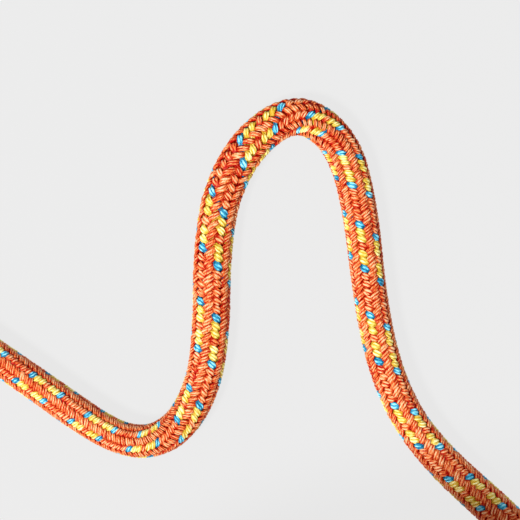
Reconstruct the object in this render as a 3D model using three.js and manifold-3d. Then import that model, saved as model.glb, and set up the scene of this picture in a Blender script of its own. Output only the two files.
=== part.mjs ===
// A 60 m dynamic climbing rope, 9.8 mm thick, lying on a flat surface.
// A short run of it lies in an open S and a tight loop, from its sealed end to a neat round coil that holds
// the rest. The laid run is built as the rope is: a braided sheath round a bundle of core strands and a
// marker tape. The coil is one ring of the outer shape of its turns, and the rope's other end lies on top.
// Units are millimetres, +Z is up, and the origin is the middle of the rope's footprint on the surface.

import * as THREE from 'three';
import { mergeVertices } from 'three/addons/utils/BufferGeometryUtils.js';
import Module from 'manifold-3d';

const wasm = await Module();
wasm.setup();

// ---- driving dimensions -----------------------------------------------------------------------------

const ROPE_DIAMETER = 9.8;
const ROPE_RADIUS = ROPE_DIAMETER / 2;
const GAP = 0.3;                    // clearance between pieces that touch on the real rope

const SHEATH_INNER_RADIUS = 3.8;
const SHEATH_SIDES = 12;

const RING_STRANDS = 7;             // core strands round the middle one
const STRAND_RADIUS = 0.98;
const STRAND_RING_RADIUS = 2.5;
const STRAND_SIDES = 8;

const TAPE_WIDTH = 1.0;             // marker tape, in the valley between two core strands
const TAPE_THICKNESS = 0.2;
const TAPE_RADIUS = 3.35;           // from the rope's middle to the tape's middle

const SLEEVE_LENGTH = 25;           // heat-shrink sleeve near each end
const SLEEVE_INNER_RADIUS = 5.15;
const SLEEVE_OUTER_RADIUS = 5.45;
const SLEEVE_SETBACK = 4;           // sheath that shows between the sleeve and the sealed tip
const SLEEVE_SIDES = 24;

const TIP_LENGTH = 7;               // melted and rounded tip
const TIP_RADIUS = 4.8;
const TIP_SIDES = 16;

const COIL_OUTER_RADIUS = 155;
const COIL_CENTRE = new THREE.Vector2(15, -229);
const COIL_TURNS_AT_BASE = 10.5;    // turns in the bottom layer, wound clockwise seen from above
const COIL_LAYERS = 10;
const LAYER_PITCH = ROPE_DIAMETER;
const LAYER_STEP_IN = 0.1 * ROPE_DIAMETER;    // each layer is this much narrower on both sides
const COIL_SIDES = 72;
const ENTRY_ANGLE = THREE.MathUtils.degToRad(46.5);   // where the laid run joins the outermost turn

const END_RUN_RADIUS = 136;         // arc of the last stretch, which lies on top of the coil
const END_RUN_SWEEP = THREE.MathUtils.degToRad(40);
const END_RUN_STEPS = 10;

const LAID_STEPS = 64;

// ---- the laid run's route ---------------------------------------------------------------------------

// From the sealed end, through the low bend, up the left leg, over the loop's top, down the right leg and
// away to the coil. The first points are lifted, because the sleeve there is thicker than the rope.
const laidRoute = [
  [-116.2, -3.1, 5.45], [-102.6, -9.5, 5.45], [-89.0, -15.8, 5.45], [-80.3, -20.6, 5.1], [-70.8, -26.9],
  [-59.9, -34.5], [-48.7, -42.3], [-43.0, -45.9], [-36.7, -48.7], [-30.0, -49.3], [-24.0, -46.6],
  [-19.5, -41.6], [-16.5, -35.4], [-14.6, -28.7], [-13.3, -15.2], [-13.0, -1.8], [-11.6, 11.8],
  [-9.9, 18.5], [-7.2, 24.7], [-3.6, 30.3], [1.2, 35.2], [7.0, 38.6], [10.2, 39.2], [13.6, 38.5],
  [19.0, 34.7], [22.8, 29.1], [25.1, 22.8], [27.7, 9.4], [29.3, -4.1], [31.4, -17.6], [34.8, -30.8],
  [40.5, -43.1], [48.8, -53.8], [64.2, -68.3], [91.5, -93.4],
].map(([x, y, z = ROPE_RADIUS]) => new THREE.Vector3(x, y, z));

const outermostTurn = COIL_OUTER_RADIUS - ROPE_RADIUS;
const coilEntry = new THREE.Vector3(
  COIL_CENTRE.x + outermostTurn * Math.cos(ENTRY_ANGLE),
  COIL_CENTRE.y + outermostTurn * Math.sin(ENTRY_ANGLE),
  ROPE_RADIUS,
);
const entryHeading = new THREE.Vector3(Math.sin(ENTRY_ANGLE), -Math.cos(ENTRY_ANGLE), 0);
const laidCurve = new THREE.CatmullRomCurve3([...laidRoute, coilEntry], false, 'centripetal');

// ---- shapes -----------------------------------------------------------------------------------------

/** The points of a regular polygon round (x, y); swept along a level curve, the first is at the bottom. */
function polygon(radius, sides, x = 0, y = 0) {
  const points = [];
  for (let i = 0; i < sides; i++) {
    const angle = (2 * Math.PI * i) / sides;
    points.push(new THREE.Vector2(x + radius * Math.cos(angle), y + radius * Math.sin(angle)));
  }
  return points;
}

/** A section carried along a curve. */
function sweep(shape, curve, steps) {
  return new THREE.ExtrudeGeometry(shape, { steps, extrudePath: curve, bevelEnabled: false });
}

/** A profile of [radius, height] pairs turned about +Z. */
function turned(profile, sides) {
  const geometry = new THREE.LatheGeometry(profile.map(([r, h]) => new THREE.Vector2(r, h)), sides);
  return geometry.rotateX(Math.PI / 2);
}

/** A closed geometry as a manifold solid. */
function toSolid(geometry) {
  const bare = geometry.clone();
  bare.deleteAttribute('normal');
  bare.deleteAttribute('uv');
  const merged = mergeVertices(bare, 1e-3);
  return new wasm.Manifold(new wasm.Mesh({
    numProp: 3,
    vertProperties: new Float32Array(merged.attributes.position.array),
    triVerts: new Uint32Array(merged.index.array),
  }));
}

/** A manifold solid as a geometry. */
function toGeometry(solid) {
  const mesh = solid.getMesh();
  const geometry = new THREE.BufferGeometry();
  geometry.setAttribute('position', new THREE.BufferAttribute(new Float32Array(mesh.vertProperties), 3));
  geometry.setIndex(new THREE.BufferAttribute(new Uint32Array(mesh.triVerts), 1));
  geometry.computeVertexNormals();
  return geometry;
}

function sheathShape() {
  const shape = new THREE.Shape(polygon(ROPE_RADIUS, SHEATH_SIDES));
  shape.holes.push(new THREE.Path(polygon(SHEATH_INNER_RADIUS, SHEATH_SIDES)));
  return shape;
}

/** The tape's section, lying flat against the inside of the sheath between two strands of the ring. */
function tapeShape() {
  const across = Math.PI / RING_STRANDS;
  const out = new THREE.Vector2(Math.cos(across), Math.sin(across));
  const along = new THREE.Vector2(-out.y, out.x);
  const corners = [[-1, -1], [1, -1], [1, 1], [-1, 1]].map(([side, level]) => out.clone()
    .multiplyScalar(TAPE_RADIUS + (level * TAPE_THICKNESS) / 2)
    .addScaledVector(along, (-side * TAPE_WIDTH) / 2));
  return new THREE.Shape(corners);
}

/** The ring that the coil's turns fill, with a slot that the laid run comes in through. */
function coilGeometry() {
  const width = (COIL_TURNS_AT_BASE + 1) * ROPE_DIAMETER;
  const inner = COIL_OUTER_RADIUS - width;
  const climb = (COIL_LAYERS - 1) * LAYER_PITCH;
  const stepIn = (COIL_LAYERS - 1) * LAYER_STEP_IN;
  const top = climb + ROPE_DIAMETER;
  const chamfer = ROPE_RADIUS * 0.6;
  const ring = toSolid(turned([
    [inner + chamfer, 0],
    [COIL_OUTER_RADIUS - chamfer, 0],
    [COIL_OUTER_RADIUS, chamfer],
    [COIL_OUTER_RADIUS, ROPE_DIAMETER],
    [COIL_OUTER_RADIUS - stepIn, top - chamfer],
    [COIL_OUTER_RADIUS - stepIn - chamfer, top],
    [inner + stepIn + chamfer, top],
    [inner + stepIn, top - chamfer],
    [inner, ROPE_DIAMETER],
    [inner, chamfer],
    [inner + chamfer, 0],
  ], COIL_SIDES).translate(COIL_CENTRE.x, COIL_CENTRE.y, 0));

  const slotLength = 80;
  const slotHeight = ROPE_DIAMETER + GAP;
  const slot = new THREE.BoxGeometry(slotLength, ROPE_DIAMETER + 2 * GAP, 2 * slotHeight);
  slot.rotateZ(Math.atan2(entryHeading.y, entryHeading.x));
  const middle = coilEntry.clone().addScaledVector(entryHeading, GAP - slotLength / 2);
  slot.translate(middle.x, middle.y, 0);
  return toGeometry(ring.subtract(toSolid(slot)));
}

function sleeveGeometry() {
  return turned([
    [SLEEVE_INNER_RADIUS, 0],
    [SLEEVE_OUTER_RADIUS, 0],
    [SLEEVE_OUTER_RADIUS, SLEEVE_LENGTH],
    [SLEEVE_INNER_RADIUS, SLEEVE_LENGTH],
    [SLEEVE_INNER_RADIUS, 0],
  ], SLEEVE_SIDES);
}

function tipGeometry() {
  return turned([
    [0, 0],
    [TIP_RADIUS, 0],
    [TIP_RADIUS, TIP_LENGTH * 0.45],
    [TIP_RADIUS * 0.86, TIP_LENGTH * 0.75],
    [TIP_RADIUS * 0.5, TIP_LENGTH * 0.95],
    [0, TIP_LENGTH],
  ], TIP_SIDES);
}

// ---- pieces -----------------------------------------------------------------------------------------

const sheathMaterial = () => new THREE.MeshStandardMaterial({ color: 0xe2683a, roughness: 0.85, metalness: 0 });
const coreMaterial = () => new THREE.MeshStandardMaterial({ color: 0xf1efe9, roughness: 0.8, metalness: 0 });
const tapeMaterial = () => new THREE.MeshStandardMaterial({ color: 0xe9d44a, roughness: 0.5, metalness: 0 });
const sleeveMaterial = () => new THREE.MeshStandardMaterial({ color: 0x1d1d20, roughness: 0.45, metalness: 0 });
const tipMaterial = () => new THREE.MeshStandardMaterial({ color: 0x8c3a1f, roughness: 0.4, metalness: 0 });

const rope = new THREE.Group();

function add(name, geometry, material) {
  const mesh = new THREE.Mesh(geometry, material);
  mesh.name = name;
  rope.add(mesh);
  return mesh;
}

/** Stands a piece that was turned about +Z at a point, with its axis along a heading. */
function stand(mesh, point, heading) {
  mesh.position.copy(point);
  mesh.quaternion.setFromUnitVectors(new THREE.Vector3(0, 0, 1), heading);
}

/** The sleeve and the sealed tip at an end of the rope, whose heading points out of the rope. */
function addEnd(name, end, heading) {
  const sleeve = add(`end_sleeve_${name}`, sleeveGeometry(), sleeveMaterial());
  stand(sleeve, end.clone().addScaledVector(heading, -SLEEVE_SETBACK - SLEEVE_LENGTH), heading);
  const tip = add(`sealed_tip_${name}`, tipGeometry(), tipMaterial());
  stand(tip, end.clone().addScaledVector(heading, GAP), heading);
}

function addLaidRun() {
  add('sheath', sweep(sheathShape(), laidCurve, LAID_STEPS), sheathMaterial());
  add('core_strand_middle', sweep(new THREE.Shape(polygon(STRAND_RADIUS, STRAND_SIDES)), laidCurve, LAID_STEPS),
    coreMaterial());
  polygon(STRAND_RING_RADIUS, RING_STRANDS).forEach((place, i) => {
    const section = new THREE.Shape(polygon(STRAND_RADIUS, STRAND_SIDES, place.x, place.y));
    add(`core_strand_${i + 1}`, sweep(section, laidCurve, LAID_STEPS), coreMaterial());
  });
  add('marker_tape', sweep(tapeShape(), laidCurve, LAID_STEPS), tapeMaterial());
  addEnd('laid', laidRoute[0], laidRoute[0].clone().sub(laidRoute[1]).normalize());
}

/** The arc of the last stretch, then the straight that its sleeve is on. */
function endRunCurve(height) {
  const at = (angle) => new THREE.Vector3(
    COIL_CENTRE.x + END_RUN_RADIUS * Math.cos(angle),
    COIL_CENTRE.y + END_RUN_RADIUS * Math.sin(angle),
    height,
  );
  const points = [];
  for (let i = 0; i <= END_RUN_STEPS; i++) {
    points.push(at(ENTRY_ANGLE - (END_RUN_SWEEP * i) / END_RUN_STEPS));
  }
  const last = ENTRY_ANGLE - END_RUN_SWEEP;
  const heading = new THREE.Vector3(Math.sin(last), -Math.cos(last), 0);
  const straight = SLEEVE_SETBACK + SLEEVE_LENGTH + ROPE_RADIUS;
  const start = points[points.length - 1];
  const end = start.clone().addScaledVector(heading, straight);
  points.push(start.clone().addScaledVector(heading, straight / 2), end);
  return { curve: new THREE.CatmullRomCurve3(points, false, 'centripetal'), end, heading };
}

function addCoil() {
  add('rope_coil', coilGeometry(), sheathMaterial());
  const top = (COIL_LAYERS - 1) * LAYER_PITCH + ROPE_DIAMETER;
  const run = endRunCurve(top + GAP + SLEEVE_OUTER_RADIUS);
  const section = new THREE.Shape(polygon(ROPE_RADIUS, SHEATH_SIDES));
  add('end_run_on_coil', sweep(section, run.curve, 2 * END_RUN_STEPS), sheathMaterial());
  addEnd('coil', run.end, run.heading);
}

addLaidRun();
addCoil();

const footprint = new THREE.Box3().setFromObject(rope, true);
const middle = footprint.getCenter(new THREE.Vector3());
rope.position.set(-middle.x, -middle.y, -footprint.min.z);

export default rope;
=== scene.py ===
"""A 60 m dynamic climbing rope, laid in an open bend and loop from its sealed end to a round coil."""
import math

import bpy
import numpy as np
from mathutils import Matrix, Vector


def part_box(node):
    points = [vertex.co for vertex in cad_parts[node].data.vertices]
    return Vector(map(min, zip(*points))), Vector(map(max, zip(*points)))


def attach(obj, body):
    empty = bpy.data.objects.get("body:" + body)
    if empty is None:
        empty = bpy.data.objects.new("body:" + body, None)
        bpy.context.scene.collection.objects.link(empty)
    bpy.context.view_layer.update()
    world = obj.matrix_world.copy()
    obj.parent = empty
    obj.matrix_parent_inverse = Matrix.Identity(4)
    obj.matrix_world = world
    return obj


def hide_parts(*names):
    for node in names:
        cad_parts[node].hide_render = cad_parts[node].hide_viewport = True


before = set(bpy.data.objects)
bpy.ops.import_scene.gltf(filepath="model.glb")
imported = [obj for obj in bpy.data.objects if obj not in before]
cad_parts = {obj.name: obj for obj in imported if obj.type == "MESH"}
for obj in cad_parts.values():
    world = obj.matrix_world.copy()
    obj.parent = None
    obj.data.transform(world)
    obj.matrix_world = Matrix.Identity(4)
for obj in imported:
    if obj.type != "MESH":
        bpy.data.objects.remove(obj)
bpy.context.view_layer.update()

MM = 0.001

# ---- the rope ---------------------------------------------------------------------------------------

DIAMETER = 9.8 * MM
RADIUS = DIAMETER / 2

# ---- the laid run's route, from the sealed end to the coil, in metres ---------------------------------

LAID_ROUTE = [
    (-0.1162, -0.0031), (-0.1026, -0.0095), (-0.0890, -0.0158), (-0.0803, -0.0206), (-0.0708, -0.0269),
    (-0.0599, -0.0345), (-0.0487, -0.0423), (-0.0430, -0.0459), (-0.0367, -0.0487), (-0.0300, -0.0493),
    (-0.0240, -0.0466), (-0.0195, -0.0416), (-0.0165, -0.0354), (-0.0146, -0.0287), (-0.0133, -0.0152),
    (-0.0130, -0.0018), (-0.0116, 0.0118), (-0.0099, 0.0185), (-0.0072, 0.0247), (-0.0036, 0.0303),
    (0.0012, 0.0352), (0.0070, 0.0386), (0.0102, 0.0392), (0.0136, 0.0385), (0.0190, 0.0347),
    (0.0228, 0.0291), (0.0251, 0.0228), (0.0277, 0.0094), (0.0293, -0.0041), (0.0314, -0.0176),
    (0.0348, -0.0308), (0.0405, -0.0431), (0.0488, -0.0538), (0.0642, -0.0683), (0.0915, -0.0934),
]
COIL_CENTRE_ON_ROUTE = np.array([0.015, -0.229])
END_LIFT = 5.45 * MM                # height of the rope's middle under its end sleeve
END_LIFT_UNTIL = 0.030              # the lift ends over this stretch, from the sealed end
END_LIFT_FADE = 0.020

# The photographed rope goes slightly oval where it bends, so its width seen from above changes along it.
# Each pair is a distance from the sealed end and a width, as a share of the diameter.
WIDTH_ALONG = [
    (0.000, 1.00), (0.052, 0.92), (0.074, 0.97), (0.092, 0.945), (0.107, 0.985), (0.118, 1.02),
    (0.134, 1.06), (0.161, 1.085), (0.188, 1.11), (0.200, 1.07), (0.222, 1.065), (0.229, 1.02),
    (0.243, 0.99), (0.258, 0.955), (0.297, 0.955), (0.311, 1.00), (0.324, 1.04), (0.370, 1.00),
]

# ---- the sheath's braid -------------------------------------------------------------------------------

STRANDS_EACH_WAY = 12
COLUMN_ANGLE = 2 * math.pi / STRANDS_EACH_WAY
# Colours of the strands that wind to the left, in order: blue, yellow and orange.
LEFT_STRANDS = "BYYOYYBOOOOO"
STRAND_THICKNESS = 0.92 * MM
STRAND_SWING = 0.48 * MM            # how far a strand goes out and in from the sheath's middle
STRAND_MIDDLE = RADIUS - STRAND_THICKNESS / 2 - STRAND_SWING
STEPS_PER_ROW = 6
DIVE = 2.8                          # how suddenly a strand dives at the ends of its floats
# A strand's width at the middle of a float and where it dives, as shares of the strands' spacing, and how
# much sooner than halfway it dives, where rows are short and where they are long.
LEFT_FLOATS = (1.30, 1.00, (0.35, 0.75))
RIGHT_FLOATS = (1.06, 0.94, (-0.05, -0.16))
SHORT_ROW, LONG_ROW = 1.7 * MM, 2.5 * MM
CORE_COVER = 3.6 * MM               # radius of the rope under its strands, in the laid run

# A row is the length that one float of a strand takes up. Rows are closer where the sheath is pushed
# together in a bend: each pair is a distance from the sealed end and a row's length there in millimetres.
ROW_ALONG = [
    (0.000, 1.80), (0.050, 1.58), (0.077, 1.53), (0.088, 1.36), (0.097, 1.13), (0.106, 1.38), (0.114, 1.70),
    (0.123, 1.92), (0.133, 2.09), (0.146, 2.38), (0.160, 2.43), (0.174, 2.52), (0.185, 2.48),
    (0.191, 2.26), (0.202, 1.74), (0.211, 1.22), (0.218, 1.37), (0.228, 1.68), (0.239, 1.92),
    (0.251, 2.07), (0.283, 2.10), (0.304, 1.97), (0.324, 1.96), (0.360, 2.10),
]
COIL_ROW = 2.10 * MM
ROW_ZERO = 0.1263                   # where the first blue strand crosses the reference column

# The reference column's angle round the rope, from straight up towards the right: it starts at the first
# angle, and each turn is (where it starts, how long it takes, how far the sheath turns in degrees).
COLUMN_START = math.radians(84)
COLUMN_TURNS = [(0.045, 0.035, 12), (0.090, 0.029, -76), (0.194, 0.026, -70), (0.245, 0.060, 21)]

# How open the braid is along the rope, from 0 to 1: its gaps show at the loop's top.
OPEN_ALONG = [(0.150, 0.0), (0.166, 0.55), (0.180, 1.0), (0.205, 1.0), (0.222, 0.5), (0.240, 0.0)]
OPEN_DIVE = 0.28                    # how much sooner its strands dive where it is fully open,
OPEN_NARROW = 0.13                  # how much narrower they are,
OPEN_UNEVEN = 0.6                   # and how much more its floats differ from each other

# ---- the coil -----------------------------------------------------------------------------------------

COIL_OUTER_RADIUS = 0.155
COIL_TURNS_AT_BASE = 10.5
COIL_LAYERS = 10
LAYER_PITCH = DIAMETER
LAYER_STEP_IN = 0.1 * DIAMETER
ENTRY_ANGLE = math.radians(46.5)
CLIMB_ANGLE = math.radians(70)      # arc over which the rope climbs from one layer to the next
COIL_STEP = math.radians(1)
END_STRAIGHT_POINTS = 12
COIL_EASE = 8                       # the coil's radius is smoothed over this many steps either way
LAID_STEP = 0.25 * MM
LAID_EASE = 9                       # and the laid run over this many of its steps
POINTS_PER_SPAN = 40
COARSE_ROWS = 7                     # rows in one step of the turns that lie hidden in the coil
SHOWING_DEPTH = 1.2 * DIAMETER

END_RUN_RADIUS = 0.136
END_RUN_SWEEP = math.radians(40)
END_RUN_LIFT = 5.2 * MM             # its middle over the top layer, so that its thicker sleeve clears it
END_RUN_HEIGHT = (COIL_LAYERS - 1) * LAYER_PITCH + DIAMETER + END_RUN_LIFT
SLEEVE_LENGTH = 0.025
SLEEVE_SETBACK = 0.004


def smooth(t):
    t = np.clip(t, 0, 1)
    return t * t * (3 - 2 * t)


def along(line):
    """Distance from the line's start at each of its points."""
    return np.concatenate([[0], np.cumsum(np.linalg.norm(np.diff(line, axis=0), axis=1))])


def catmull_rom(points, per_span):
    """The centripetal Catmull-Rom curve through the points, as part.mjs has it."""
    p = np.vstack([2 * points[0] - points[1], points, 2 * points[-1] - points[-2]])
    t = np.linspace(0, 1, per_span, endpoint=False)[:, None]
    spans = []
    for a, b, c, d in zip(p[:-3], p[1:-2], p[2:-1], p[3:]):
        ab, bc, cd = (np.linalg.norm(v) ** 0.5 for v in (b - a, c - b, d - c))
        m1 = ((b - a) / ab - (c - a) / (ab + bc) + (c - b) / bc) * bc
        m2 = ((c - b) / bc - (d - b) / (bc + cd) + (d - c) / cd) * bc
        spans.append(b + m1 * t + (3 * (c - b) - 2 * m1 - m2) * t**2 + (2 * (b - c) + m1 + m2) * t**3)
    return np.vstack([*spans, points[-1:]])


def evenly(line, step):
    s = along(line)
    at = np.linspace(0, s[-1], int(math.ceil(s[-1] / step)) + 1)
    return np.stack([np.interp(at, s, line[:, k]) for k in range(3)], axis=1)


def eased(line, reach):
    """The line with its curvature smoothed over a few points either way; its ends stay."""
    weights = np.exp(-0.5 * (np.arange(-3 * reach, 3 * reach + 1) / reach) ** 2)
    weights /= weights.sum()
    ends = [np.linspace(2 * line[0] - line[3 * reach], line[0], 3 * reach, endpoint=False)]
    ends.append(np.linspace(line[-1], 2 * line[-1] - line[-1 - 3 * reach], 3 * reach + 1)[1:])
    padded = np.vstack([ends[0], line, ends[1]])
    return np.stack([np.convolve(padded[:, k], weights, "valid") for k in range(3)], axis=1)


def eased_values(values, reach):
    """Values with their corners rounded over a few places either way."""
    return eased(np.column_stack([values, np.zeros((len(values), 2))]), reach)[:, 0]


def coil_line(centre):
    """Clockwise layers that wind in and out by turns, with a climb at the end of each, then the end run.

    The last stretch is an arc on top of the coil and the straight that the sleeve is on.
    """
    layers = np.arange(COIL_LAYERS)
    turns = COIL_TURNS_AT_BASE - 2 * layers * LAYER_STEP_IN / DIAMETER
    outer = COIL_OUTER_RADIUS - RADIUS - layers * LAYER_STEP_IN
    inner = outer - turns * DIAMETER
    ends = np.cumsum(turns) * 2 * math.pi
    edges = np.where(layers % 2 == 0, inner + LAYER_STEP_IN / 2, outer - LAYER_STEP_IN / 2)
    edges[-1] = outer[-1]

    sweep = ends[-1] + END_RUN_SWEEP
    wound = np.linspace(0, sweep, int(sweep / COIL_STEP) + 1)
    radii = np.interp(wound, [0, *ends, sweep], [outer[0], *edges, END_RUN_RADIUS])
    radii = eased_values(radii, COIL_EASE)
    climbs = np.full(COIL_LAYERS, LAYER_PITCH)
    top = RADIUS + (COIL_LAYERS - 1) * LAYER_PITCH
    climbs[-1] = END_RUN_HEIGHT - top
    heights = RADIUS + sum(
        climb * smooth(0.5 + (wound - end) / CLIMB_ANGLE) for end, climb in zip(ends, climbs))
    angles = ENTRY_ANGLE - wound
    points = np.stack(
        [centre[0] + radii * np.cos(angles), centre[1] + radii * np.sin(angles), heights], axis=1)

    layer = np.minimum(np.searchsorted(ends, wound), COIL_LAYERS - 1)
    depth = np.minimum(outer[layer] - radii, radii - inner[layer])
    depth[(layer == 0) | (layer == COIL_LAYERS - 1)] = 0

    heading = np.array([math.sin(angles[-1]), -math.cos(angles[-1]), 0])
    ahead = np.linspace(0, SLEEVE_SETBACK + SLEEVE_LENGTH + RADIUS, END_STRAIGHT_POINTS)[1:, None]
    points = np.vstack([points, points[-1] + ahead * heading])
    return points, np.concatenate([depth, np.zeros(len(ahead))])


# ---- the whole centreline -----------------------------------------------------------------------------

coil_low, coil_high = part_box("rope_coil")
coil_centre = np.array([(coil_low.x + coil_high.x) / 2, (coil_low.y + coil_high.y) / 2])
shift = coil_centre - COIL_CENTRE_ON_ROUTE


def laid_line():
    """The laid run, on the surface it rests on: its middle is as high as its own section is deep."""
    outermost = COIL_OUTER_RADIUS - RADIUS
    entry = coil_centre + outermost * np.array([math.cos(ENTRY_ANGLE), math.sin(ENTRY_ANGLE)])
    flat = np.vstack([np.array(LAID_ROUTE) + shift, entry])
    line = catmull_rom(np.column_stack([flat, np.zeros(len(flat))]), POINTS_PER_SPAN)
    line = eased(evenly(line, LAID_STEP), LAID_EASE)
    s = along(line)
    resting = RADIUS / np.interp(s, *zip(*WIDTH_ALONG))
    lift = 1 - smooth((s - END_LIFT_UNTIL) / END_LIFT_FADE)
    line[:, 2] = resting + (END_LIFT - resting) * lift
    return line


laid = laid_line()
coil, coil_depth = coil_line(coil_centre)
centreline = np.vstack([laid, coil[1:]])
hidden_depth = np.concatenate([np.zeros(len(laid)), coil_depth[1:]])
distance = along(centreline)
laid_length = along(laid)[-1]


def side_frames(line):
    """At each point, the rope's upward side and its right-hand side."""
    heading = np.gradient(line, axis=0)
    heading /= np.linalg.norm(heading, axis=1)[:, None]
    right = np.cross(heading, [0, 0, 1.0])
    right /= np.linalg.norm(right, axis=1)[:, None]
    return np.cross(right, heading), right


ups, rights = side_frames(centreline)


def at_distance(s, values):
    return np.stack([np.interp(s, distance, values[:, k]) for k in range(3)], axis=-1)


# ---- the braid's rows and columns ---------------------------------------------------------------------

row_step = np.interp(distance, *zip(*ROW_ALONG)) * MM
row_step = np.where(distance > laid_length, COIL_ROW, row_step)
row_at = np.concatenate([[0], np.cumsum(np.diff(distance) * 2 / (row_step[1:] + row_step[:-1]))])
row_at -= np.interp(ROW_ZERO, distance, row_at)
column_at = COLUMN_START + sum(
    math.radians(turn) * smooth((distance - start) / length) for start, length, turn in COLUMN_TURNS)
width_at = np.where(distance > laid_length, 1.0, np.interp(distance, *zip(*WIDTH_ALONG)))


def bend_at(line):
    """How sharply the line turns to the right at each point, in radians a metre."""
    heading = np.unwrap(np.arctan2(np.gradient(line[:, 1]), np.gradient(line[:, 0])))
    return -np.gradient(heading) / np.gradient(along(line))


laid_bend = bend_at(laid)


def distance_of_row(row):
    return np.interp(row, row_at, distance)


# ---- meshes -------------------------------------------------------------------------------------------

def add_object(name, mesh, materials, body="root"):
    obj = bpy.data.objects.new(name, mesh)
    bpy.context.scene.collection.objects.link(obj)
    for material in materials:
        mesh.materials.append(material)
    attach(obj, body)
    return obj


def grid_mesh(name, points, faces, caps=(), attributes=None, slots=None):
    """A mesh of quads and end caps from arrays, smooth shaded."""
    mesh = bpy.data.meshes.new(name)
    loops = np.concatenate([faces.ravel(), *[np.asarray(c).ravel() for c in caps]]).astype(np.int32)
    sizes = np.concatenate([np.full(len(faces), faces.shape[1]), [len(c) for c in caps]]).astype(np.int32)
    starts = np.concatenate([[0], np.cumsum(sizes)[:-1]]).astype(np.int32)
    mesh.vertices.add(len(points))
    mesh.vertices.foreach_set("co", points.astype(np.float32).ravel())
    mesh.loops.add(len(loops))
    mesh.loops.foreach_set("vertex_index", loops)
    mesh.polygons.add(len(sizes))
    mesh.polygons.foreach_set("loop_start", starts)
    mesh.polygons.foreach_set("use_smooth", np.ones(len(sizes), bool))
    if slots is not None:
        mesh.polygons.foreach_set("material_index", slots.astype(np.int32))
    mesh.update(calc_edges=True)
    for key, values in (attributes or {}).items():
        mesh.attributes.new(key, "FLOAT", "POINT").data.foreach_set("value", values.astype(np.float32))
    return mesh


def tube_faces(rings, sides):
    """Quads between the rings of a tube, facing out where the sides run clockwise seen along it."""
    ring, side = np.meshgrid(np.arange(rings - 1), np.arange(sides), indexing="ij")
    here, beside = ring * sides + side, ring * sides + (side + 1) % sides
    return np.stack([here, beside, beside + sides, here + sides], axis=-1).reshape(-1, 4)


# ---- materials ----------------------------------------------------------------------------------------

class Nodes:
    """A material's node tree, with short ways to add nodes and links."""

    def __init__(self, name, roughness, sheen=0.0):
        self.material = bpy.data.materials.new(name)
        self.material.use_nodes = True
        self.tree = self.material.node_tree
        self.shader = self.tree.nodes["Principled BSDF"]
        self.shader.inputs["Roughness"].default_value = roughness
        self.shader.inputs["Sheen Weight"].default_value = sheen

    def add(self, kind, inputs=(), **settings):
        node = self.tree.nodes.new(kind)
        for key, value in settings.items():
            setattr(node, key, value)
        for key, value in dict(inputs).items():
            if isinstance(value, bpy.types.NodeSocket):
                self.tree.links.new(value, node.inputs[key])
            else:
                node.inputs[key].default_value = value
        return node

    def math(self, operation, a, b=0.0, c=0.0):
        return self.add("ShaderNodeMath", {0: a, 1: b, 2: c}, operation=operation).outputs[0]

    def attribute(self, name):
        return self.add("ShaderNodeAttribute", attribute_name=name).outputs["Fac"]

    def ramp(self, value, stops):
        node = self.add("ShaderNodeValToRGB", {"Fac": value})
        while len(node.color_ramp.elements) < len(stops):
            node.color_ramp.elements.new(0.5)
        for element, (at, colour) in zip(node.color_ramp.elements, stops):
            element.position = at
            element.color = (*colour, 1.0)
        return node.outputs["Color"]

    def into(self, socket, output):
        self.tree.links.new(output, self.shader.inputs[socket])


FIBRES_ACROSS, FIBRES_ALONG = 3.4, 0.75     # how fine the yarn's fibres are, across a strand and to a mm
TWISTS_ALONG, TWISTS_ACROSS = 9.0, 5.0      # and its twist
# The first of these sets how strongly the painted highlight and painted shade in the crest attribute move the
# tone; fibres and twist vary it at random.
PAINTED_LIGHT_TONE, FIBRE_TONE, TWIST_TONE = 0.80, 2.4, 0.05     # how much each one makes the yarn paler
TONE_OFFSET = 1.16
# Ramp stops: deep is painted shade, pale is a painted highlight, main is the yarn's own colour.
DEEP_AT, MAIN_AT, PALE_AT = 0.10, 0.55, 0.98
STRAND_SPECULAR = 0.13


def strand_material(name, deep, main, pale):
    """Filament yarn: painted shade between its plies, at the ends of its floats and underneath, painted
    highlights on the plies' crests, and fine fibres along it.
    """
    n = Nodes(name, roughness=0.5)
    n.shader.inputs["Specular IOR Level"].default_value = STRAND_SPECULAR
    across, run, seed = n.attribute("across"), n.attribute("along"), n.attribute("seed")
    place = n.add("ShaderNodeCombineXYZ", {"X": n.math("MULTIPLY", across, FIBRES_ACROSS),
                                           "Y": n.math("MULTIPLY", run, FIBRES_ALONG), "Z": seed})
    fibre = n.add("ShaderNodeTexNoise", {"Vector": place.outputs[0], "Scale": 1.0, "Detail": 2.0,
                                         "Roughness": 0.55}).outputs["Fac"]
    # crest carries painted light: pale on each ply's crest, deep in the valleys between plies, at a float's
    # diving ends and underneath, with a random tone per float.
    ply = n.attribute("crest")
    turn = n.math("ADD", n.math("MULTIPLY", run, TWISTS_ALONG), n.math("MULTIPLY", across, TWISTS_ACROSS))
    twist = n.math("SINE", turn)
    tone = n.math("ADD", n.math("MULTIPLY", ply, PAINTED_LIGHT_TONE), n.math("MULTIPLY", fibre, FIBRE_TONE))
    tone = n.math("ADD", n.math("SUBTRACT", tone, TONE_OFFSET), n.math("MULTIPLY", twist, TWIST_TONE))
    n.into("Base Color", n.ramp(tone, [(DEEP_AT, deep), (MAIN_AT, main), (PALE_AT, pale)]))
    n.into("Roughness", n.math("ADD", n.math("MULTIPLY", fibre, 0.25), 0.32))
    bump = n.add("ShaderNodeBump", {
        "Strength": 0.5, "Distance": 0.08 * MM,
        "Height": n.math("ADD", n.math("MULTIPLY", twist, 0.5), n.math("MULTIPLY", fibre, 1.2))})
    n.into("Normal", bump.outputs["Normal"])
    return n.material


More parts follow.
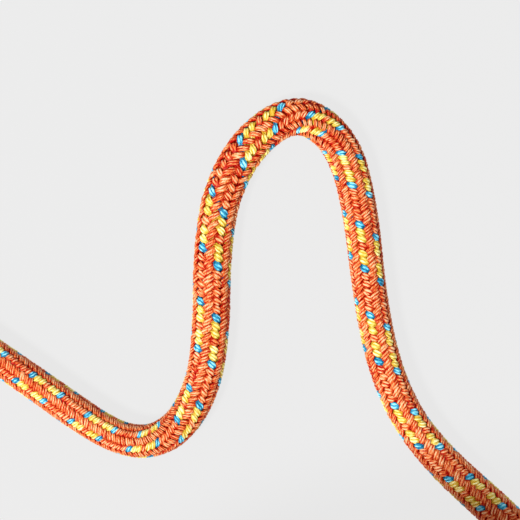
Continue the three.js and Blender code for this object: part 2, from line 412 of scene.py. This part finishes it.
def plain_yarn(name, colour):
    """Yarn as the coil's floats show it from further away: each float is a pillow of two plies.

    The body's mesh gives each place's row, a whole number at the floats' edges, and its crest, from 0 at
    a column's edges to 1 at its middle.
    """
    n = Nodes(name, roughness=0.6)
    n.shader.inputs["Base Color"].default_value = (*colour, 1.0)
    n.shader.inputs["Specular IOR Level"].default_value = 0.25
    in_row = n.math("FRACT", n.attribute("row"))
    ply = n.math("ABSOLUTE", n.math("SINE", n.math("MULTIPLY", in_row, 2 * math.pi)))
    pillow = n.math("SINE", n.math("MULTIPLY", in_row, math.pi))
    end = n.math("POWER", n.attribute("crest"), 0.5)
    height = n.math("MULTIPLY", n.math("POWER", pillow, 0.5), end)
    height = n.math("ADD", height, n.math("MULTIPLY", ply, 0.35))
    bump = n.add("ShaderNodeBump", {"Strength": 0.7, "Distance": 0.5 * MM, "Height": height})
    n.into("Normal", bump.outputs["Normal"])
    return n.material


def film_material():
    n = Nodes("end_sleeve_film", roughness=0.38)
    place = n.add("ShaderNodeTexCoord").outputs["Object"]
    cloud = n.add("ShaderNodeTexNoise", {"Vector": place, "Scale": 420.0, "Detail": 4.0}).outputs["Fac"]
    n.into("Base Color", n.ramp(cloud, [(0.3, (0.010, 0.010, 0.012)), (0.7, (0.024, 0.024, 0.028))]))
    n.into("Roughness", n.math("ADD", n.math("MULTIPLY", cloud, 0.25), 0.27))
    bump = n.add("ShaderNodeBump", {"Strength": 0.25, "Distance": 0.1 * MM, "Height": cloud})
    n.into("Normal", bump.outputs["Normal"])
    return n.material


def melted_material():
    n = Nodes("melted_yarn", roughness=0.3)
    place = n.add("ShaderNodeTexCoord").outputs["Object"]
    cloud = n.add("ShaderNodeTexNoise", {"Vector": place, "Scale": 330.0, "Detail": 5.0}).outputs["Fac"]
    n.into("Base Color", n.ramp(cloud, [
        (0.30, (0.060, 0.012, 0.005)), (0.52, (0.27, 0.045, 0.012)), (0.72, (0.55, 0.14, 0.04))]))
    n.into("Roughness", n.math("ADD", n.math("MULTIPLY", cloud, 0.4), 0.28))
    bump = n.add("ShaderNodeBump", {"Strength": 0.5, "Distance": 0.3 * MM, "Height": cloud})
    n.into("Normal", bump.outputs["Normal"])
    return n.material


def core_material():
    n = Nodes("core_yarn", roughness=0.7, sheen=0.2)
    place = n.add("ShaderNodeTexCoord").outputs["Object"]
    fibre = n.add("ShaderNodeTexNoise", {"Vector": place, "Scale": 900.0, "Detail": 3.0}).outputs["Fac"]
    n.into("Base Color", n.ramp(fibre, [(0.3, (0.66, 0.64, 0.58)), (0.7, (0.90, 0.89, 0.85))]))
    return n.material


def tape_material():
    n = Nodes("marker_tape_film", roughness=0.4)
    place = n.add("ShaderNodeTexCoord").outputs["Object"]
    cloud = n.add("ShaderNodeTexNoise", {"Vector": place, "Scale": 300.0, "Detail": 2.0}).outputs["Fac"]
    n.into("Base Color", n.ramp(cloud, [(0.3, (0.72, 0.58, 0.05)), (0.7, (0.86, 0.72, 0.10))]))
    return n.material


# Each yarn's deep colour is painted shade and its pale colour is a painted highlight; main is the yarn's own
# colour.
ORANGE = {"deep": (0.43, 0.003, 0.0005), "main": (0.81, 0.205, 0.042), "pale": (0.88, 0.57, 0.32)}
YELLOW = {"deep": (0.60, 0.37, 0.020), "main": (0.86, 0.69, 0.155), "pale": (0.98, 0.94, 0.52)}
BLUE = {"deep": (0.006, 0.130, 0.26), "main": (0.060, 0.48, 0.74), "pale": (0.42, 0.90, 1.00)}
yarn_orange = strand_material("yarn_orange", **ORANGE)
yarn_yellow = strand_material("yarn_yellow", **YELLOW)
yarn_blue = strand_material("yarn_blue", **BLUE)
coil_cells = [
    plain_yarn("coil_orange", (0.73, 0.168, 0.052)),
    plain_yarn("coil_orange_light", (0.79, 0.230, 0.085)),
    plain_yarn("coil_orange_dark", (0.62, 0.110, 0.030)),
    plain_yarn("coil_yellow", (0.82, 0.66, 0.16)),
    plain_yarn("coil_blue", (0.050, 0.38, 0.62)),
]
# Dark red painted shade for the body that shows in the gaps between the laid run's strands.
under_sheath_shade = plain_yarn("under_sheath_shade", (0.50, 0.014, 0.001))


# ---- the rope's body: under the strands of the laid run, and every turn of the coil ---------------------

TUBE_SIDES = 24
CELL_OFFSET = np.array([0.0, -0.5, 0.0, 0.5])     # rows lean one way in a column and back in the next
COLUMN_GROOVE = 0.52 * MM                         # how deep a column's edges lie in the coil
ROW_GROOVE = 0.38 * MM                            # and a row's edges
JOIN_LENGTH = 1.5 * MM                            # the rope's body comes out to full size over this
UNDER_SLOT = 5                                    # where the material under the strands is in its list
COLOUR_SLOTS = {"O": 0, "Y": 3, "B": 4}           # and the coil's colours; 0, 1 and 2 are oranges
TONE_SEED = 8


def rope_rows():
    """Row numbers of the body's rings: two to a row where it shows, and fewer where the coil hides it."""
    rows = np.arange(2 * (int(math.ceil(row_at[0])) + 1), 2 * int(row_at[-1]) - 1) / 2
    deep = np.interp(distance_of_row(rows), distance, hidden_depth)
    laid_run = distance_of_row(rows) < laid_length - 2 * COIL_ROW
    keep = (deep < SHOWING_DEPTH) & (~laid_run | (rows % 1 == 0)) | (rows % COARSE_ROWS == 0)
    keep[-1] = True
    return rows[keep]


def cell_slots(rows):
    """Each face's material: the strand's colour in left columns, and one of three oranges elsewhere."""
    ring, side = np.meshgrid(np.floor(rows[:-1]).astype(int), np.arange(TUBE_SIDES), indexing="ij")
    column = ((side + 1) % TUBE_SIDES) // 2
    strand = (ring + 2 * (column // 2)) % STRANDS_EACH_WAY
    colour = np.array([COLOUR_SLOTS[c] for c in LEFT_STRANDS])[strand]
    tones = np.random.default_rng(TONE_SEED).choice(3, (ring.max() - ring.min() + 1, STRANDS_EACH_WAY))
    tone = tones[ring - ring.min(), column]
    slots = np.where((column % 2 == 0) & (colour > 0), colour, tone)
    return np.where(distance_of_row(ring) < laid_length, UNDER_SLOT, slots)


def make_body():
    rows = rope_rows()
    side = np.arange(TUBE_SIDES)
    ring_rows = rows[:, None] - 0.5 + CELL_OFFSET[side % 4][None, :]
    ring_rows = np.clip(ring_rows, row_at[0], row_at[-1])
    s = distance_of_row(ring_rows)
    angle = np.interp(s, distance, column_at) + side[None, :] * (2 * math.pi / TUBE_SIDES)
    full = RADIUS - COLUMN_GROOVE * (side % 2)[None, :] - ROW_GROOVE * (rows % 1 == 0)[:, None]
    radius = CORE_COVER + (full - CORE_COVER) * smooth((s - laid_length) / JOIN_LENGTH)
    wide = np.interp(s, distance, width_at)
    out = (np.sin(angle) * wide)[..., None] * at_distance(s, rights)
    out += (np.cos(angle) / wide)[..., None] * at_distance(s, ups)
    points = (at_distance(s, centreline) + radius[..., None] * out).reshape(-1, 3)
    faces = tube_faces(len(rows), TUBE_SIDES)
    first = np.arange(TUBE_SIDES)[::-1]
    final = np.arange(TUBE_SIDES) + (len(rows) - 1) * TUBE_SIDES
    row_number = np.broadcast_to(rows[:, None], ring_rows.shape).ravel()
    crest = np.broadcast_to((1 - side % 2)[None, :], ring_rows.shape).ravel()
    mesh = grid_mesh("rope_sheath", points, faces, [first, final], {"row": row_number, "crest": crest},
                     np.concatenate([cell_slots(rows).ravel(), [UNDER_SLOT, 0]]))
    return add_object("rope_sheath", mesh, [*coil_cells, under_sheath_shade])


# ---- the strands of the laid run ------------------------------------------------------------------------

# A strand is two plies side by side, which turn slowly round each other: a section of it has these
# places across, from edge to edge, and then comes back underneath.
PLIES = 2
ACROSS = np.sin(np.linspace(-math.pi / 2, math.pi / 2, 17) * 0.8) / math.sin(math.pi * 0.4)
UNDER = np.array([0.6, -0.6])
PLY_DEPTH = 0.64                    # how deep the valleys between the plies go, as a share of the section
PLY_DRIFT = 2.8 * MM                # length in which the plies move over by one place
PLY_ROLL = 0.3                      # how far a float may be rolled over, in places
# The pale crests are a painted highlight, and the valleys between plies are painted shade.
PLY_ROUNDNESS = 0.8                 # powers that make the plies' tops rounder,
CREST_POWER = 1.6                   # and their pale crests narrower
SHOULDER_POWER = 5                  # how square a strand's shoulders are
UNDERSIDE = 0.85                    # how thick it is below its middle, as a share of its half-thickness
WAVE = 0.05                         # a slight swell of its surface, along and across it


def section(run, winds_left, rolled):
    """(height, crest) over the section's places at each distance along, for a half-thickness of one; crest
    places the painted highlight and painted shade.
    """
    drift = (run / PLY_DRIFT + PLY_ROLL * rolled)[:, None] * (1 if winds_left else -1)
    place = (ACROSS[None, :] + 1) / 2 * PLIES + drift
    lobe = np.abs(np.sin(math.pi * place)) ** PLY_ROUNDNESS
    height = np.sqrt(1 - np.abs(ACROSS) ** SHOULDER_POWER) * (1 - PLY_DEPTH + PLY_DEPTH * lobe)
    # crest masks the painted highlight: high on each ply's top, falling to painted shade in the valleys,
    # towards the strand's edges and on its underside.
    crest = lobe**CREST_POWER * np.sqrt(1 - ACROSS**6)
    under = np.ones((len(run), len(UNDER)))
    return np.hstack([height, -UNDERSIDE * under]), np.hstack([crest, 0 * under])


STRAND_FROM = 0.3 * MM
STRAND_PAST_LAID = 1.2 * MM         # the strands run on this far past the laid run's end
SINK_BEFORE = 1.2 * MM              # they start to sink into the coil's body this far before it,
SINK_LENGTH = 1.5 * MM              # over this length,
SINK_DEPTH = 0.9 * MM               # by this much
STRAND_SEED = 1000
LEFT_SEED = 100                     # added for the strands that wind to the left
ASIDE = 0.11 * MM                   # how far a float may lie to one side
UNEVEN = 0.08                       # how much a float's width and thickness may differ, as a share,
TONE_UNEVEN = 0.22                  # and how much its tone may differ
USUAL_SPACING = 1.5 * MM            # strands are thinner where they lie closer than this


def strand_points(index, winds_left):
    """One strand's points, from the sealed end to the coil, with what its material reads."""
    first = np.interp(STRAND_FROM, distance, row_at)
    last = np.interp(laid_length + STRAND_PAST_LAID, distance, row_at)
    rows = np.arange(math.ceil(first * STEPS_PER_ROW), int(last * STEPS_PER_ROW)) / STEPS_PER_ROW
    s = distance_of_row(rows)
    column = np.interp(s, distance, column_at)
    turned = (index - rows) if winds_left else (index + rows - 0.5)
    angle = column + COLUMN_ANGLE * turned
    over = np.cos(math.pi * turned) * (1 if winds_left else -1)
    full, diving, sooner = LEFT_FLOATS if winds_left else RIGHT_FLOATS
    opened = np.interp(s, *zip(*OPEN_ALONG))
    sooner = np.interp(np.interp(s, distance, row_step), (SHORT_ROW, LONG_ROW), sooner) + OPEN_DIVE * opened
    over = over - sooner * (1 - over**2)
    lifted = np.tanh(DIVE * over) / math.tanh(DIVE)
    chance = np.random.default_rng(STRAND_SEED + index + (LEFT_SEED if winds_left else 0))
    floats = np.arange(math.floor(turned.min()) - 1, math.ceil(turned.max()) + 2)
    wider, taller, toned, aside, rolled = (
        np.interp(turned, floats, chance.uniform(-1, 1, len(floats))) * (1 + OPEN_UNEVEN * opened)
        for _ in range(5))
    sunk = smooth((s - laid_length + SINK_BEFORE) / SINK_LENGTH) * SINK_DEPTH
    depth = STRAND_MIDDLE + STRAND_SWING * lifted - sunk

    wide = np.interp(s, distance, width_at)
    up, right, middle = at_distance(s, ups), at_distance(s, rights), at_distance(s, centreline)
    sine, cosine = np.sin(angle), np.cos(angle)
    out = (sine * wide)[:, None] * right + (cosine / wide)[:, None] * up
    normal = (sine / wide)[:, None] * right + (cosine * wide)[:, None] * up
    normal /= np.linalg.norm(normal, axis=1)[:, None]
    line = middle + depth[:, None] * out
    heading = np.gradient(line, axis=0)
    heading /= np.linalg.norm(heading, axis=1)[:, None]
    cross = np.cross(heading, normal)
    cross /= np.linalg.norm(cross, axis=1)[:, None]
    normal = np.cross(cross, heading)
    line = line + (ASIDE * aside)[:, None] * cross

    bend = np.interp(s, along(laid), laid_bend)
    column_width = depth * COLUMN_ANGLE
    row = np.interp(s, distance, row_step) * np.clip(1 - bend * STRAND_MIDDLE * sine, 0.35, 2)
    spacing = column_width * row / np.hypot(column_width, row)
    half_width = 0.5 * spacing * (diving + (full - diving) * np.abs(over) + UNEVEN * wider)
    half_width = half_width * (1 - OPEN_NARROW * opened)
    half_thick = 0.5 * STRAND_THICKNESS * np.clip(spacing / USUAL_SPACING, 0.75, 1.08)
    half_thick = half_thick * (1 + UNEVEN * taller)

    height, crest = section(along(line), winds_left, rolled)
    across = np.append(ACROSS, UNDER)
    wave = 1 + WAVE * np.sin(rows[:, None] * 2.1 + across[None, :] * 4 + index * 1.7)
    points = (line[:, None, :]
              + (half_width[:, None] * across[None, :])[..., None] * cross[:, None, :]
              + (half_thick[:, None] * height * wave)[..., None] * normal[:, None, :])
    run = along(line) / MM
    # Painted light: the crests' painted highlight, darkened to painted shade where a float dives under its
    # crossing strand, plus a random tone per float.
    painted_light = crest * smooth((over[:, None] - 0.05) / 0.7) + TONE_UNEVEN * toned[:, None]
    return points, np.broadcast_to(across, points.shape[:2]), \
        np.broadcast_to(run[:, None], points.shape[:2]), painted_light


def make_strands(name, strands, material):
    """Several strands of one colour as one piece."""
    points, faces, caps, values = [], [], [], {"across": [], "along": [], "crest": [], "seed": []}
    start, sides = 0, len(ACROSS) + len(UNDER)
    for index, winds_left in strands:
        # Its last value, kept as the crest attribute, is painted highlight and painted shade with a random
        # tone.
        grid, across, run, crest = strand_points(index, winds_left)
        rings = len(grid)
        points.append(grid.reshape(-1, 3))
        quads = tube_faces(rings, sides) + start
        faces.append(quads[:, ::-1])
        caps += [np.arange(sides) + start, np.arange(sides)[::-1] + start + (rings - 1) * sides]
        for key, value in (("across", across), ("along", run), ("crest", crest)):
            values[key].append(value.ravel())
        values["seed"].append(np.full(rings * sides, index * 3.7 + (50 if winds_left else 0)))
        start += rings * sides
    mesh = grid_mesh(name, np.vstack(points), np.vstack(faces), caps,
                     {k: np.concatenate(v) for k, v in values.items()})
    return add_object(name, mesh, [material])


def make_sheath_strands():
    left = {c: [(i, True) for i, k in enumerate(LEFT_STRANDS) if k == c] for c in "BYO"}
    right = [(i, False) for i in range(STRANDS_EACH_WAY)]
    return [
        make_strands("strands_orange_left_1", left["O"][0::2], yarn_orange),
        make_strands("strands_orange_left_2", left["O"][1::2], yarn_orange),
        make_strands("strands_yellow_left", left["Y"], yarn_yellow),
        make_strands("strands_blue_left", left["B"], yarn_blue),
        *[make_strands(f"strands_orange_right_{k + 1}", right[k::4], yarn_orange) for k in range(4)],
    ]


# ---- the core of the laid run ---------------------------------------------------------------------------

CORE_RING_STRANDS = 7
CORE_RING_RADIUS = 2.5 * MM
CORE_STRAND_RADIUS = 0.98 * MM
CORE_PLY_TURN = 7 * MM              # length in which a core strand's three plies turn once
CORE_STEP = 1 * MM
CORE_SIDES = 12
TAPE_RADIUS = 3.35 * MM
TAPE_SIZE = (1.0 * MM, 0.2 * MM)


def run_inside(name, section_at, look):
    """A piece that runs along inside the laid run: section_at gives its places across the rope."""
    s = np.linspace(0, laid_length, int(laid_length / CORE_STEP))
    x, y = section_at(s[:, None])
    wide = np.interp(s, distance, width_at)[:, None]
    points = at_distance(s, centreline)[:, None, :]
    points = points + (x * wide)[..., None] * at_distance(s, rights)[:, None, :]
    points = points + (y / wide)[..., None] * at_distance(s, ups)[:, None, :]
    sides = points.shape[1]
    faces = tube_faces(len(s), sides)
    caps = [np.arange(sides)[::-1], np.arange(sides) + (len(s) - 1) * sides]
    mesh = grid_mesh(f"{name}_yarn", points.reshape(-1, 3), faces, caps)
    piece = add_object(f"{name}_inside", mesh, [look])
    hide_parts(name)
    return piece


def make_core():
    """A middle strand, the ring of strands round it, and the tape in a valley between two of them."""
    look = core_material()
    side = -np.arange(CORE_SIDES) * 2 * math.pi / CORE_SIDES
    pieces = []
    for k in range(CORE_RING_STRANDS + 1):
        around = 2 * math.pi * k / CORE_RING_STRANDS
        out = CORE_RING_RADIUS if k else 0

        def section_at(s):
            lobes = np.cos(3 * (side - 2 * math.pi * s / CORE_PLY_TURN - k))
            radius = CORE_STRAND_RADIUS * (0.88 + 0.12 * lobes)
            x = out * math.cos(around) + radius * np.cos(side)
            return x, out * math.sin(around) + radius * np.sin(side)

        pieces.append(run_inside(f"core_strand_{k or 'middle'}", section_at, look))

    half_width, half_thick = TAPE_SIZE[0] / 2, TAPE_SIZE[1] / 2
    valley = math.pi / CORE_RING_STRANDS
    corners = np.array([(-1, -1), (-1, 1), (1, 1), (1, -1)])

    def tape_section(s):
        out = TAPE_RADIUS + corners[:, 1] * half_thick + 0 * s
        beside = corners[:, 0] * half_width
        return (out * math.cos(valley) + beside * math.sin(valley),
                out * math.sin(valley) - beside * math.cos(valley))

    return [*pieces, run_inside("marker_tape", tape_section, tape_material())]


# ---- the ends -------------------------------------------------------------------------------------------

SLEEVE_OUTER, SLEEVE_INNER = 5.12 * MM, 4.75 * MM
SLEEVE_EDGE = 0.12 * MM             # the bevel at its ends
SLEEVE_RINGS = np.arange(0.6, 24.6, 0.4) * MM
SLEEVE_SIDES, TIP_SIDES = 72, 48
LAID_END_SPAN, COIL_END_SPAN = 40, 3        # points from each end that give its heading
RIPPLE_LENGTH = 1.9 * MM            # the braid's rows, as they press through the film
RIPPLE_DEPTH = 0.006
TIP_RADIUS, TIP_POINT = 4.7 * MM, 0.02 * MM
TIP_TUCK, TIP_LENGTH = 0.4 * MM, 7.3 * MM    # it starts this far inside the rope, and is this long
TIP_BLUNTNESS = 3.2
TIP_NECK = (3.5 * MM, -0.8 * MM)    # radius and height of the ring that closes it inside the rope
TIP_RINGS = 22


def turned_mesh(name, profile, sides, start, heading, ripple):
    """A profile of (radius, height) turned about a heading, with a ripple worked into its radius."""
    heading = Vector(heading).normalized()
    side = heading.cross(Vector((0, 0, 1))).normalized()
    up = side.cross(heading)
    side, up, heading = (np.array(v) for v in (side, up, heading))
    angle = np.arange(sides) * 2 * math.pi / sides
    radius, height = (np.array(v)[:, None] for v in zip(*profile))
    grown = radius * (1 + ripple(angle[None, :], height))
    points = np.array(start) + height[..., None] * heading
    points = points + (grown * np.cos(angle))[..., None] * up + (grown * np.sin(angle))[..., None] * side
    faces = tube_faces(len(profile), sides)
    caps = [np.arange(sides)[::-1], np.arange(sides) + (len(profile) - 1) * sides]
    return grid_mesh(name, points.reshape(-1, 3), faces, caps)


def sleeve_ripple(angle, height):
    """The braid's rows and columns, as they press through the shrunk film."""
    along_it = height / RIPPLE_LENGTH * 2 * math.pi
    return RIPPLE_DEPTH * np.sin(along_it + 6 * angle) * np.sin(along_it - 6 * angle)


def tip_ripple(angle, height):
    return 0.03 * np.sin(3 * angle + height * 900) + 0.02 * np.sin(7 * angle - height * 1700)


def make_end(name, point, heading):
    """The film sleeve and the melted tip at an end of the rope, whose heading points out of it."""
    heading = np.array(heading) / np.linalg.norm(heading)
    bevelled = SLEEVE_OUTER - SLEEVE_EDGE
    near = [(SLEEVE_INNER, 0), (bevelled, 0), (SLEEVE_OUTER, SLEEVE_EDGE)]
    middle = [(SLEEVE_OUTER, height) for height in SLEEVE_RINGS]
    far = [(SLEEVE_OUTER, SLEEVE_LENGTH - SLEEVE_EDGE), (bevelled, SLEEVE_LENGTH)]
    far.append((SLEEVE_INNER, SLEEVE_LENGTH))
    start = np.array(point) - heading * (SLEEVE_SETBACK + SLEEVE_LENGTH)
    sleeve = add_object(
        f"sleeve_{name}",
        turned_mesh(f"sleeve_{name}", near + middle + far, SLEEVE_SIDES, start, heading, sleeve_ripple),
        [film])
    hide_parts(f"end_sleeve_{name}")
    rise = np.linspace(0, 1, TIP_RINGS)
    dome = [(TIP_RADIUS * (1 - t**TIP_BLUNTNESS) ** 0.5 + TIP_POINT, t * TIP_LENGTH - TIP_TUCK) for t in rise]
    tip = add_object(
        f"tip_{name}",
        turned_mesh(f"tip_{name}", [TIP_NECK, *dome], TIP_SIDES, point, heading, tip_ripple),
        [melted])
    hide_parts(f"sealed_tip_{name}")
    return [sleeve, tip]


# ---- camera, floor and light ------------------------------------------------------------------------------

VIEW_WIDTH = 0.1415                 # what the picture's width takes in, at the height of the rope's middle
CAMERA_HEIGHT = 0.62
SENSOR = 36.0
CLIP_RANGE = (0.01, 20)
FLOOR_SIZE = 12.0
FLOOR_DROP = 0.1 * MM               # the floor lies just under the rope, so that they don't share a plane
FLOOR_GREY = 0.035
FLOOR_GLOW = 0.785                  # the floor lights itself, because the photograph's has almost no shadow
WORLD_LIGHT = 0.50
KEY_PLACE = (-0.64, -0.52, 1.4)     # from the picture's centre
KEY_SIZE = 0.35
KEY_POWER = 33.0


def make_camera():
    data = bpy.data.cameras.new("camera")
    data.sensor_width = SENSOR
    data.lens = SENSOR * (CAMERA_HEIGHT - RADIUS) / VIEW_WIDTH
    data.clip_start, data.clip_end = CLIP_RANGE
    camera = bpy.data.objects.new("camera", data)
    bpy.context.scene.collection.objects.link(camera)
    camera.location = (shift[0], shift[1], CAMERA_HEIGHT)
    bpy.context.scene.camera = camera


def make_floor():
    mesh = bpy.data.meshes.new("floor")
    half = FLOOR_SIZE / 2
    corners = [(-half, -half, 0), (half, -half, 0), (half, half, 0), (-half, half, 0)]
    mesh.from_pydata(corners, [], [(0, 1, 2, 3)])
    n = Nodes("floor_paper", roughness=0.9)
    n.shader.inputs["Base Color"].default_value = (FLOOR_GREY, FLOOR_GREY, FLOOR_GREY, 1)
    n.shader.inputs["Specular IOR Level"].default_value = 0.0
    n.shader.inputs["Emission Color"].default_value = (1, 1, 1, 1)
    n.shader.inputs["Emission Strength"].default_value = FLOOR_GLOW
    mesh.materials.append(n.material)
    floor = bpy.data.objects.new("floor", mesh)
    bpy.context.scene.collection.objects.link(floor)
    floor.location.z = -FLOOR_DROP


def make_area(name, place, target, size, power):
    data = bpy.data.lights.new(name, "AREA")
    data.shape, data.size, data.energy = "DISK", size, power
    lamp = bpy.data.objects.new(name, data)
    bpy.context.scene.collection.objects.link(lamp)
    lamp.location = place
    lamp.rotation_euler = (target - place).to_track_quat("-Z", "Y").to_euler()


def make_light():
    world = bpy.data.worlds.new("world")
    bpy.context.scene.world = world
    world.use_nodes = True
    background = world.node_tree.nodes["Background"]
    background.inputs["Color"].default_value = (1, 1, 1, 1)
    background.inputs["Strength"].default_value = WORLD_LIGHT
    centre = Vector((shift[0], shift[1], 0))
    make_area("key", centre + Vector(KEY_PLACE), centre, KEY_SIZE, KEY_POWER)
    scene = bpy.context.scene
    scene.view_settings.view_transform = "Standard"
    scene.view_settings.look = "None"


make_camera()
film, melted = film_material(), melted_material()
body = make_body()
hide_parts("sheath", "rope_coil", "end_run_on_coil")
strands = make_sheath_strands()
ends = make_end("laid", laid[0], laid[0] - laid[LAID_END_SPAN])
ends += make_end("coil", coil[-1], coil[-1] - coil[-1 - COIL_END_SPAN])
core = make_core()

make_floor()
make_light()
